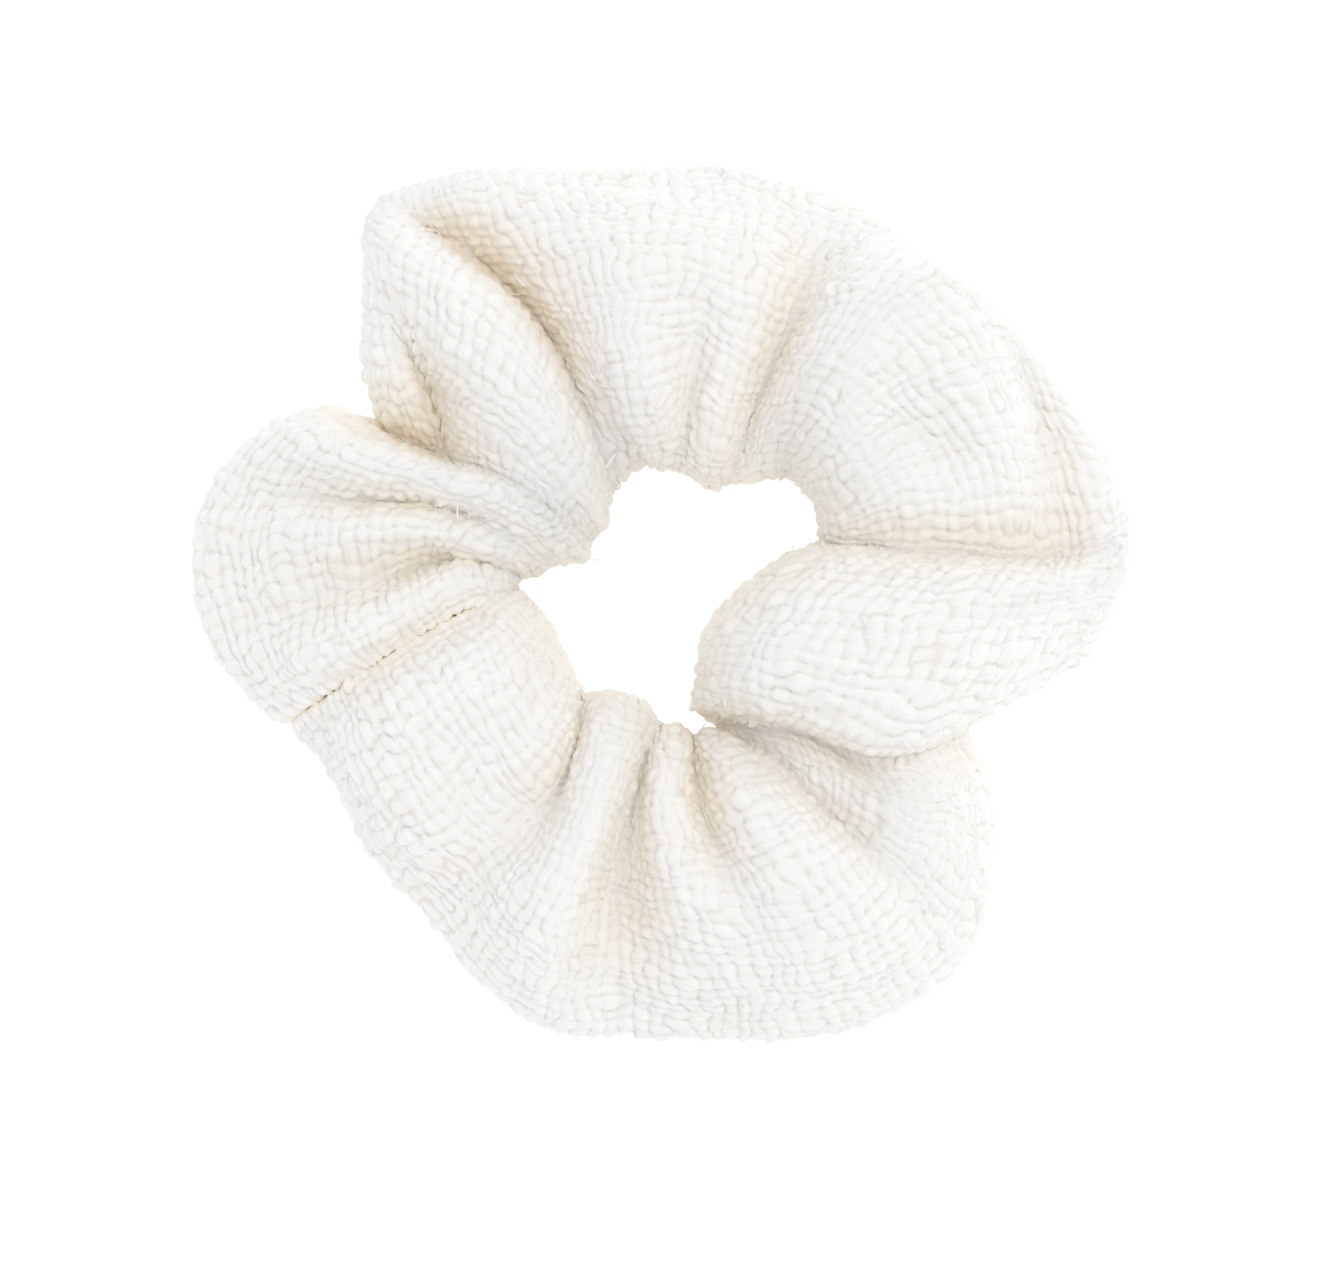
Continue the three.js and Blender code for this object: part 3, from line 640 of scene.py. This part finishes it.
def add_piece(name, points, faces, material, uv=None, smooth=True):
    """A mesh object from points in millimetres and arrays of triangles or quads."""
    mesh = bpy.data.meshes.new(name)
    mesh.vertices.add(len(points))
    mesh.vertices.foreach_set("co", (points * MM).astype(np.float32).ravel())
    corners = np.concatenate([f.ravel() for f in faces]).astype(np.int32)
    sizes = np.concatenate([np.full(len(f), f.shape[1]) for f in faces])
    mesh.loops.add(len(corners))
    mesh.loops.foreach_set("vertex_index", corners)
    mesh.polygons.add(len(sizes))
    starts = np.concatenate([[0], np.cumsum(sizes)[:-1]]).astype(np.int32)
    mesh.polygons.foreach_set("loop_start", starts)
    mesh.polygons.foreach_set("use_smooth", np.full(len(sizes), smooth))
    if uv is not None:
        layer = mesh.uv_layers.new(name="cloth")
        layer.data.foreach_set("uv", uv[corners].astype(np.float32).ravel())
    mesh.update()
    mesh.validate()
    mesh.materials.append(material)
    piece = bpy.data.objects.new(name, mesh)
    bpy.context.collection.objects.link(piece)
    return piece


def grid_quads(index):
    """Quads of a grid of point numbers, facing the side that the cloth's outer face is on."""
    corners = [index[:-1, :-1], index[:-1, 1:], index[1:, 1:], index[1:, :-1]]
    return np.stack(corners, -1).reshape(-1, 4)


def rim_faces(fine, coarse):
    """Triangles between an edge of the outer face and the same edge of the inner one, which has
    half as many points."""
    f0, f1, f2 = fine[0:-2:2], fine[1:-1:2], fine[2::2]
    c0, c1 = coarse[:-1], coarse[1:]
    corners = ((f1, f0, c0), (f2, f1, c1), (f1, c0, c1))
    return np.concatenate([np.stack(three, -1) for three in corners])


def cloth_shell(middle, relief, along, across):
    """The closed shell of the strip: woven outer face, plainer inner face, and cut edges."""
    du, dv = np.gradient(middle, axis=0), np.gradient(middle, axis=1)
    normal = unit(np.cross(dv, du))
    outer = middle + normal * (CLOTH / 2 + relief)[..., None]
    inner = (middle - normal * CLOTH / 2)[::2, ::2]
    n_out = outer.shape[0] * outer.shape[1]
    fine = np.arange(n_out).reshape(outer.shape[:2])
    coarse = n_out + np.arange(inner.shape[0] * inner.shape[1]).reshape(inner.shape[:2])
    faces = [
        grid_quads(fine),
        grid_quads(coarse)[:, ::-1],
        rim_faces(fine[0], coarse[0]),
        rim_faces(fine[-1][::-1], coarse[-1][::-1]),
        rim_faces(fine[::-1, 0], coarse[::-1, 0]),
        rim_faces(fine[:, -1], coarse[:, -1]),
    ]
    uv = np.stack(np.meshgrid(along, across, indexing="ij"), -1) / 100
    points = np.concatenate([outer.reshape(-1, 3), inner.reshape(-1, 3)])
    uvs = np.concatenate([uv.reshape(-1, 2), uv[::2, ::2].reshape(-1, 2)])
    return points, faces, uvs, outer, normal


def swept(path, side, up, outline):
    """Points and faces of an outline swept along a path: side and up give its frame at each point,
    outline holds its points as (side, up) pairs for each point of the path."""
    ring = outline.shape[-2]
    outline = np.broadcast_to(outline, (len(path), ring, 2))
    points = path[:, None] + outline[..., :1] * side[:, None] + outline[..., 1:] * up[:, None]
    index = np.arange(len(path) * ring).reshape(len(path), ring)
    wrapped = np.concatenate([index, index[:, :1]], axis=1)
    return points.reshape(-1, 3), [grid_quads(wrapped), index[:1, ::-1], index[-1:]]


def length_along(path):
    """Length gone at each point of a path."""
    return np.concatenate([[0], np.cumsum(np.linalg.norm(np.diff(path, axis=0), axis=1))])


def twisted_thread(name, path, hint, radius, material):
    """A two-ply thread: a lobed outline that turns as it goes along the path."""
    along = unit(np.gradient(path, axis=0))
    side = unit(np.cross(hint, along))
    up = unit(np.cross(along, side))
    sides = 8
    angle = np.arange(sides) * 2 * math.pi / sides
    twist = length_along(path) * 2 * math.pi / PLY_LENGTH
    lobed = radius * (1 - PLY_DEPTH + PLY_DEPTH * np.cos(2 * (angle[None] - twist[:, None])))
    outline = np.stack([lobed * np.cos(angle), lobed * np.sin(angle)], -1)
    points, faces = swept(path, side, up, outline)
    return add_piece(name, points, faces, material)


def hairs(name, roots, aims, bends, lengths, half_sizes, material, rng, sides=3):
    """Many short closed hairs in one mesh, each bent along its own curve. They stay over the table,
    and three-sided ones grow thinner towards their tips."""
    joints, thinner = 6, 0.6
    lowest = 0.05 + 0.02 * np.arange(sides)
    t = np.linspace(0, 1, joints)[None, :, None]
    reach = lengths[:, None, None]
    path = roots[:, None] + reach * (t * aims[:, None] + t * t * bends[:, None])
    across = unit(np.cross(aims, rng.normal(size=aims.shape)))
    above = np.cross(unit(aims), across)
    angle = (np.arange(sides) + 0.5) * 2 * math.pi / sides
    taper = (1 - thinner * t) if sides == 3 else np.ones_like(t)
    ring_a = half_sizes[0] * np.cos(angle)[None, None, :, None] * across[:, None, None]
    ring_b = half_sizes[1] * np.sin(angle)[None, None, :, None] * above[:, None, None]
    points = path[:, :, None] + (ring_a + ring_b) * taper[..., None]
    points[..., 2] = np.maximum(points[..., 2], lowest)
    index = np.arange(len(roots) * joints * sides).reshape(len(roots), joints, sides)
    wrapped = np.concatenate([index, index[..., :1]], axis=2)
    corners = [wrapped[:, :-1, :-1], wrapped[:, 1:, :-1], wrapped[:, 1:, 1:], wrapped[:, :-1, 1:]]
    faces = [np.stack(corners, -1).reshape(-1, 4), index[:, 0, ::-1], index[:, -1]]
    return add_piece(name, points.reshape(-1, 3), faces, material)


# ---- materials

class Nodes:
    """A short way to build one node material."""

    def __init__(self, name, roughness, **values):
        self.material = bpy.data.materials.new(name)
        self.material.use_nodes = True
        self.tree = self.material.node_tree
        self.shader = self.tree.nodes["Principled BSDF"]
        self.shader.inputs["Roughness"].default_value = roughness
        for socket, value in values.items():
            self.shader.inputs[socket.replace("_", " ")].default_value = value

    def node(self, kind, **settings):
        made = self.tree.nodes.new(kind)
        for key, value in settings.items():
            if key in made.inputs:
                made.inputs[key].default_value = value
            else:
                setattr(made, key, value)
        return made

    def link(self, source, target):
        self.tree.links.new(source, target)

    def place(self):
        return self.node("ShaderNodeTexCoord").outputs["Object"]

    def attribute(self, name):
        return self.node("ShaderNodeAttribute", attribute_name=name).outputs["Fac"]

    def noise(self, vector, scale, detail=2.0, roughness=0.5):
        made = self.node("ShaderNodeTexNoise", Scale=scale, Detail=detail, Roughness=roughness)
        self.link(vector, made.inputs["Vector"])
        return made.outputs["Fac"]

    def scaled(self, vector, factors):
        made = self.node("ShaderNodeMapping", Scale=factors)
        self.link(vector, made.inputs["Vector"])
        return made.outputs["Vector"]

    def ramp(self, value, stops):
        made = self.node("ShaderNodeValToRGB")
        ramp = made.color_ramp
        ramp.elements[0].position, ramp.elements[-1].position = stops[0][0], stops[-1][0]
        ramp.elements[0].color, ramp.elements[-1].color = (*stops[0][1], 1), (*stops[-1][1], 1)
        for place, colour in stops[1:-1]:
            ramp.elements.new(place).color = (*colour, 1)
        self.link(value, made.inputs["Fac"])
        return made.outputs["Color"]

    def mixed(self, factor, first, second, mode="MIX"):
        made = self.node("ShaderNodeMix", data_type="RGBA", blend_type=mode)
        if hasattr(factor, "links"):
            self.link(factor, made.inputs[0])
        else:
            made.inputs[0].default_value = factor
        for source, socket in ((first, made.inputs[6]), (second, made.inputs[7])):
            if hasattr(source, "links"):
                self.link(source, socket)
            else:
                socket.default_value = (*source, 1)
        return made.outputs[2]

    def colour(self, source):
        self.link(source, self.shader.inputs["Base Color"])

    def rough(self, source, low, high):
        made = self.node("ShaderNodeMapRange", **{"To Min": low, "To Max": high})
        self.link(source, made.inputs["Value"])
        self.link(made.outputs[0], self.shader.inputs["Roughness"])

    def bump(self, height, distance):
        made = self.node("ShaderNodeBump", Strength=1.0, Distance=distance)
        self.link(height, made.inputs["Height"])
        self.link(made.outputs["Normal"], self.shader.inputs["Normal"])


def grey(level):
    return (level, level, level)


def cloth_material():
    """Off-white slubby yarn: each yarn a slightly different cream with fibres along it, with
    painted shade: warmer and darker in the folds and darker in the pits between the yarns."""
    yarns_each_way, fibres_each_way = (100 / WARP, 9, 1), (430, 140, 1)
    m = Nodes("woven_cloth", 0.9, Sheen_Weight=0.25, Sheen_Roughness=0.6, Specular_IOR_Level=0.15)
    place = m.place()
    weave = m.node("ShaderNodeUVMap", uv_map="cloth").outputs["UV"]
    open_part = m.attribute("openness")
    rise = m.attribute("rise")
    yarns = m.noise(m.scaled(weave, yarns_each_way), 1.0, 1.0)
    patches = m.noise(place, 55, 3.0)
    fibres = m.noise(m.scaled(weave, fibres_each_way), 1.0, 4.0, 0.65)
    tint = m.ramp(yarns, ((0.3, CREAM_DARK), (0.5, CREAM), (0.72, CREAM_LIGHT)))
    warm = m.mixed(m.ramp(patches, ((0.42, grey(0)), (0.75, grey(0.5)))), tint, CREAM_WARM)
    shade = m.ramp(fibres, ((0.25, grey(0.98)), (0.6, grey(1))))
    # painted shade: warmer and darker where the folds close off the cloth's outlook, lighter on the
    # slopes
    fold = m.ramp(open_part, ((0.2, FOLD_PAINTED_SHADE), (0.6, SLOPE_PAINTED_SHADE), (0.93, grey(1))))
    # painted shade: darker in the pits between the yarns, where the relief is lowest
    painted_pit_shade = m.ramp(rise, ((0.0, PIT_PAINTED_SHADE), (0.4, grey(1))))
    with_painted_fold_shade = m.mixed(1.0, m.mixed(1.0, warm, shade, "MULTIPLY"), fold, "MULTIPLY")
    m.colour(m.mixed(1.0, with_painted_fold_shade, painted_pit_shade, "MULTIPLY"))
    m.rough(patches, 0.82, 0.96)
    m.bump(fibres, 0.00018)
    return m.material


def fuzz_material():
    m = Nodes("loose_fibres", 0.8, Sheen_Weight=0.2, Specular_IOR_Level=0.2)
    place = m.place()
    m.colour(m.ramp(m.noise(place, 300), ((0.35, CREAM), (0.65, (0.97, 0.96, 0.94)))))
    return m.material


def film_material():
    m = Nodes("clear_film", 0.2, Specular_IOR_Level=1.0, Coat_Weight=0.5, Coat_Roughness=0.1)
    place = m.place()
    worn = m.noise(place, 900)
    m.colour(m.ramp(worn, ((0.3, (0.93, 0.93, 0.92)), (0.7, grey(0.99)))))
    m.rough(worn, 0.08, 0.25)
    return m.material


def thread_material(name, base, light):
    m = Nodes(name, 0.55, Sheen_Weight=0.15, Specular_IOR_Level=0.4)
    place = m.place()
    plies = m.noise(place, 2500, 2.0)
    m.colour(m.ramp(plies, ((0.3, base), (0.7, light))))
    m.rough(plies, 0.45, 0.7)
    m.bump(plies, 0.00003)
    return m.material


def elastic_material():
    m = Nodes("braided_elastic", 0.7, Sheen_Weight=0.2, Specular_IOR_Level=0.3)
    place = m.place()
    fibres = m.noise(m.scaled(place, (1, 1, 3)), 1600, 3.0)
    broad = m.noise(place, 120, 2.0)
    tint = m.ramp(broad, ((0.35, (0.83, 0.82, 0.79)), (0.7, (0.9, 0.89, 0.87))))
    m.colour(m.mixed(1.0, tint, m.ramp(fibres, ((0.3, grey(0.86)), (0.6, grey(1)))), "MULTIPLY"))
    m.rough(fibres, 0.55, 0.8)
    m.bump(fibres, 0.00004)
    return m.material


# ---- the casing

def kept_at_seam(along, lost, over):
    """What is left of a look near the closing seam: less on its edge, all of it further off."""
    from_seam = np.minimum(np.abs(along), np.abs(along - LENGTH))[:, None]
    return 1 - lost * np.exp(-((from_seam / over) ** 2))


def make_casing():
    """The cloth of the casing, with how open and how raised it is at each point, for its painted
    shade in the folds and in the pits.
    """
    cage, firmness = gathered_tube()
    cage = eased(settle(cage, firmness))
    step_u, step_w = WARP / PER_WARP, WEFT / PER_WEFT
    beyond_u, beyond_w = round(TURNED_IN / step_u), round(ALLOWANCE / step_w)
    along = np.arange(-beyond_u, round(LENGTH / step_u) + beyond_u + 1) * step_u
    across = np.arange(-beyond_w, round(GIRTH / step_w) + beyond_w + 1) * step_w
    middle = whole_strip(cage, along, across)
    relief = weave_relief(along, across, spread_along(middle, step_u))
    relief = relief * kept_at_seam(along, *RELIEF_AT_SEAM)
    points, faces, uv, outer, normal = cloth_shell(middle, relief, along, across)
    casing = add_piece("casing_cloth", points, faces, cloth_material(), uv)
    # openness is cut down near the closing seam, which paints a narrow line of shade along it
    free = tube_values(openness(cage), along, across) * kept_at_seam(along, *PAINTED_SHADE_AT_SEAM)
    low, high = np.percentile(relief, (PITS, TOPS))
    rise = np.clip((relief - low) / (high - low), 0, 1)
    # the openness drives the painted shade in the folds, the rise the painted shade in the pits
    for name, grid in (("openness", free), ("rise", rise)):
        values = np.concatenate([grid.ravel(), grid[::2, ::2].ravel()])
        casing.data.attributes.new(name, "FLOAT", "POINT").data.foreach_set("value", values)
    finish_piece(casing, "casing", "woven_cloth", "casing")
    return casing, cage, outer, normal


def finish_piece(piece, body, slot, *nodes):
    """Say which body a piece rides, and hide the nodes it stands for. Slot is not used."""
    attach(piece, body)
    if nodes:
        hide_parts(*nodes)


def scattered(outer, normal, count, rng):
    """Random places on the outer face of the cloth, clear of the turned-in allowances."""
    margin_u, margin_w = 24, 32
    i = rng.integers(margin_u, outer.shape[0] - margin_u, count)
    j = rng.integers(margin_w, outer.shape[1] - margin_w, count)
    tangent_u = unit(outer[i + 1, j] - outer[i - 1, j])
    tangent_w = unit(outer[i, j + 1] - outer[i, j - 1])
    return outer[i, j], normal[i, j], tangent_u, tangent_w


def make_fuzz(outer, normal):
    """Short loose fibres that stand off the cloth every way."""
    rng = np.random.default_rng(SEED + 1)
    count, radius, rooted = 10000, 0.018, 0.1
    shortest, longer, longest = 0.5, 0.6, 3.2
    flattest, steepest, curl, lifting = 0.25, 1.0, 0.45, 0.15
    root, up, tu, tw = scattered(outer, normal, count, rng)
    lean = rng.uniform(0, 2 * math.pi, (count, 1))
    flat = np.cos(lean) * tu + np.sin(lean) * tw
    aim = unit(rng.uniform(flattest, steepest, (count, 1)) * up + flat)
    bend = curl * rng.normal(size=(count, 3)) + lifting * up
    lengths = np.minimum(shortest + rng.exponential(longer, count), longest)
    sizes, material = (radius, radius), fuzz_material()
    fuzz = hairs("casing_fibres", root - rooted * up, aim, bend, lengths, sizes, material, rng)
    finish_piece(fuzz, "casing", "woven_cloth")
    return fuzz


def make_film(outer, normal):
    """Flat glossy filaments on the cloth, most along the yarns that cross the tube, and the groups
    of parallel ones that stand out."""
    rng = np.random.default_rng(SEED + 2)
    count, half_sizes, over_cloth = 120, (0.16, 0.03), 0.04
    steepness, swing, curl, falling, shortest, longest = 0.3, 0.35, 0.1, 0.08, 0.9, 2.6
    root, up, tu, tw = scattered(outer, normal, count, rng)
    rising = steepness * rng.random((count, 1)) * up
    aim = unit(rising + tw + swing * rng.normal(size=(count, 1)) * tu)
    bend = curl * rng.normal(size=(count, 3)) - falling * up
    lengths = rng.uniform(shortest, longest, count)
    gap, uneven, lift, bar_swing, bar_rise, bar_curl = 1.3, 0.5, 0.5, 0.12, 0.1, 0.05
    shortest, longest = 1.6, 3.0
    for x, y, bars in GLINTS:
        away = np.hypot(outer[..., 0] - x, outer[..., 1] - y)
        near = outer.reshape(-1, 3)[np.argmin(away - 0.2 * outer[..., 2])]
        for n in range(bars):
            root = np.vstack([root, near + [gap * (n - bars / 2), uneven * rng.normal(), lift]])
            aim = np.vstack([aim, unit(np.array([bar_swing * rng.normal(), 1, bar_rise]))])
            bend = np.vstack([bend, bar_curl * rng.normal(size=3)])
            up = np.vstack([up, [0, 0, 1]])
            lengths = np.append(lengths, rng.uniform(shortest, longest))
    name, root, material = "casing_film_filaments", root + over_cloth * up, film_material()
    film = hairs(name, root, aim, bend, lengths, half_sizes, material, rng, sides=4)
    finish_piece(film, "casing", "woven_cloth")
    return film


# ---- stitches

def dipping(gone, stitch):
    """Height of a stitched thread over its own layer: 1 on the bars, 0 in the needle's holes."""
    sharp = 14
    return 1 - np.abs(np.cos(math.pi * gone / stitch)) ** sharp


def lockstitch(seam, middle, apart_by, stitch, material):
    """Needle and bobbin threads on the two sides of a seam, meeting in the needle's holes."""
    gone = length_along(middle)
    points_each = 10
    at = np.linspace(0, gone[-1], int(gone[-1] / stitch * points_each))
    centre, away = (
        np.stack([np.interp(at, gone, line[:, k]) for k in range(3)], -1)
        for line in (middle, apart_by)
    )
    for thread, sign in (("needle", 1), ("bobbin", -1)):
        name = f"{seam}_{thread}_thread"
        path = centre + sign * away * dipping(at, stitch)[:, None]
        made = twisted_thread(name + "_stitches", path, unit(away), SEWING_RADIUS, material)
        finish_piece(made, "casing", "sewing_thread", name)


def make_seams(cage):
    """The long seam, through its allowances, and the closing seam, through both folded edges."""
    material = thread_material("sewing_thread", *SEWING_COLOURS)
    inset, proud = 1.0, 0.25
    along = np.linspace(EDGE + inset, LENGTH - EDGE - inset, 1400)
    pair = strip_sections(cage, along, np.array([-STITCH_DEPTH, GIRTH + STITCH_DEPTH]))
    away = unit(pair[:, 1] - pair[:, 0]) * (CLOTH + proud)
    lockstitch("side_seam", pair.mean(axis=1), away, LONG_STITCH, material)
    inset, step = 1.5, 0.3
    across = np.linspace(inset, GIRTH - inset, 420)
    ends = []
    for start in (EDGE, LENGTH - EDGE):
        rows = strip_sections(cage, np.array([start - step, start, start + step]), across)
        normal = unit(np.cross(np.gradient(rows[1], axis=0), rows[2] - rows[0]))
        ends.append(rows[1] - FOLD * normal)
    first, last = ends
    lockstitch("closing_seam", (first + last) / 2, (first - last) / 2, CLOSING_STITCH, material)


# ---- the elastic

def band_radius(along):
    """Radius of the elastic's middle at a length along it: it steps out to lap over its start."""
    turn = 2 * math.pi * BAND["radius"]
    t = np.clip((along - turn + BAND["ramp"]) / BAND["ramp"], 0, 1)
    return BAND["radius"] + (BAND["thickness"] + BAND_GAP) * t * t * (3 - 2 * t)


def band_place(along, out, z):
    """A point of the elastic, from its length along it, how far out of its middle, and height."""
    radius = band_radius(along) + out
    angle = along / BAND["radius"]
    low = BAND["low"] + BAND["width"] / 2
    x, y = RING[0] + radius * np.cos(angle), RING[1] + radius * np.sin(angle)
    return np.stack([x, y, z + low + 0 * x], -1)


def make_elastic():
    """The braided band: ribs along it, crossed by the braid, and edges that thin out."""
    total = 2 * math.pi * BAND["radius"] + BAND["overlap"]
    rows, columns = 620, 33
    along = np.linspace(0, total, rows)[:, None]
    half, thick = BAND["width"] / 2, BAND["thickness"] / 2
    z = np.linspace(-1, 1, columns)
    rib = np.abs(np.sin(math.pi * RIBS * (z + 1) / 2))[None]
    odd, bow = np.floor((z + 1) / 2 * RIBS)[None] % 2, 0.35
    braid = 0.5 + 0.5 * np.cos(2 * math.pi * (along / BRAID_LENGTH + 0.5 * odd + bow * rib))
    raised = RIB_HEIGHT * rib + BRAID_HEIGHT * braid * rib
    edge, squareness = 0.45, 8
    rounded = (1 - np.abs(z) ** squareness)[None] ** 0.5
    face = (thick - RIB_HEIGHT - BRAID_HEIGHT + raised) * (edge + (1 - edge) * rounded)
    outer = band_place(along, face, half * z[None])
    inner = band_place(along, -face, half * z[None])
    ring = np.concatenate([outer, inner[:, ::-1]], axis=1)
    index = np.arange(ring.shape[0] * ring.shape[1]).reshape(ring.shape[:2])
    wrapped = np.concatenate([index, index[:, :1]], axis=1)
    faces = [grid_quads(wrapped)[:, ::-1]]
    for row, flip in ((0, False), (-1, True)):
        a, b = index[row, :columns], index[row, columns:][::-1]
        cap = np.stack([a[:-1], a[1:], b[1:], b[:-1]], -1)
        faces.append(cap[:, ::-1] if flip else cap)
    band = add_piece("braided_elastic", ring.reshape(-1, 3), faces, elastic_material())
    finish_piece(band, "elastic", "elastic", "elastic_band")
    return band


def make_join():
    """The zigzag that holds the elastic's two overlapped ends together."""
    material = thread_material("join_thread", *JOIN_COLOURS)
    points_each, sharp, proud = 14, 24, 0.14
    leg = np.linspace(0, ZIGZAG_LEGS, ZIGZAG_LEGS * points_each + 1)
    along = BAND["overlap"] * (leg + 1) / (ZIGZAG_LEGS + 2)
    sweep = np.abs((leg + 1) % 2 - 1) * 2 - 1
    lap = BAND["thickness"] + BAND_GAP
    dips = np.abs(np.cos(math.pi * leg)) ** sharp
    turn = along / BAND["radius"]
    radial = np.stack([np.cos(turn), np.sin(turn), 0 * turn], -1)
    for name, sign in (("elastic_join_needle_thread", 1), ("elastic_join_bobbin_thread", -1)):
        surface = lap / 2 + sign * (lap / 2 + BAND["thickness"] / 2 + proud)
        out = surface + (lap / 2 - surface) * dips
        path = band_place(along, out, ZIGZAG_HALF_HEIGHT * sweep)
        thread = twisted_thread(name + "_stitches", path, radial, JOIN_RADIUS, material)
        finish_piece(thread, "elastic", "join_thread", name)


# ---- floor, light and camera

def glowing_floor():
    """A pale table, lit from beneath as for a cut-out product picture."""
    corners = np.array([[-1, -1, 0], [1, -1, 0], [1, 1, 0], [-1, 1, 0]]) * TABLE / 2 / MM
    material = bpy.data.materials.new("floor")
    material.use_nodes = True
    shader = material.node_tree.nodes["Principled BSDF"]
    shader.inputs["Base Color"].default_value = (0.9, 0.9, 0.9, 1)
    shader.inputs["Roughness"].default_value = 1.0
    shader.inputs["Emission Color"].default_value = (1, 1, 1, 1)
    shader.inputs["Emission Strength"].default_value = FLOOR_GLOW
    floor = add_piece("floor", corners, [np.array([[0, 1, 2, 3]])], material, smooth=False)


def make_studio():
    """The table, an even pale sky, and one soft lamp aimed at the middle of the table."""
    glowing_floor()
    scene = bpy.context.scene
    world = bpy.data.worlds.new("studio")
    world.use_nodes = True
    background = world.node_tree.nodes["Background"]
    background.inputs["Color"].default_value = (*SKY_COLOUR, 1)
    background.inputs["Strength"].default_value = SKY
    scene.world = world
    light = bpy.data.lights.new("key", "AREA")
    light.size, light.energy = KEY_SIZE, KEY
    lamp = bpy.data.objects.new("key", light)
    lamp.location = KEY_PLACE
    lamp.rotation_euler = (-Vector(KEY_PLACE)).to_track_quat("-Z", "Y").to_euler()
    scene.collection.objects.link(lamp)
    scene.view_settings.view_transform = "Standard"
    scene.view_settings.gamma = GAMMA
    scene.cycles.diffuse_bounces = BOUNCES
    scene.cycles.max_bounces = BOUNCES


def make_camera():
    data = bpy.data.cameras.new("camera")
    data.lens, data.sensor_width = LENS, SENSOR
    camera = bpy.data.objects.new("camera", data)
    camera.location = CAMERA_PLACE
    bpy.context.scene.collection.objects.link(camera)
    bpy.context.scene.camera = camera


make_camera()
elastic = make_elastic()
make_join()
casing, cage, outer_face, outer_normal = make_casing()
make_seams(cage)
fuzz = make_fuzz(outer_face, outer_normal)
film = make_film(outer_face, outer_normal)
make_studio()
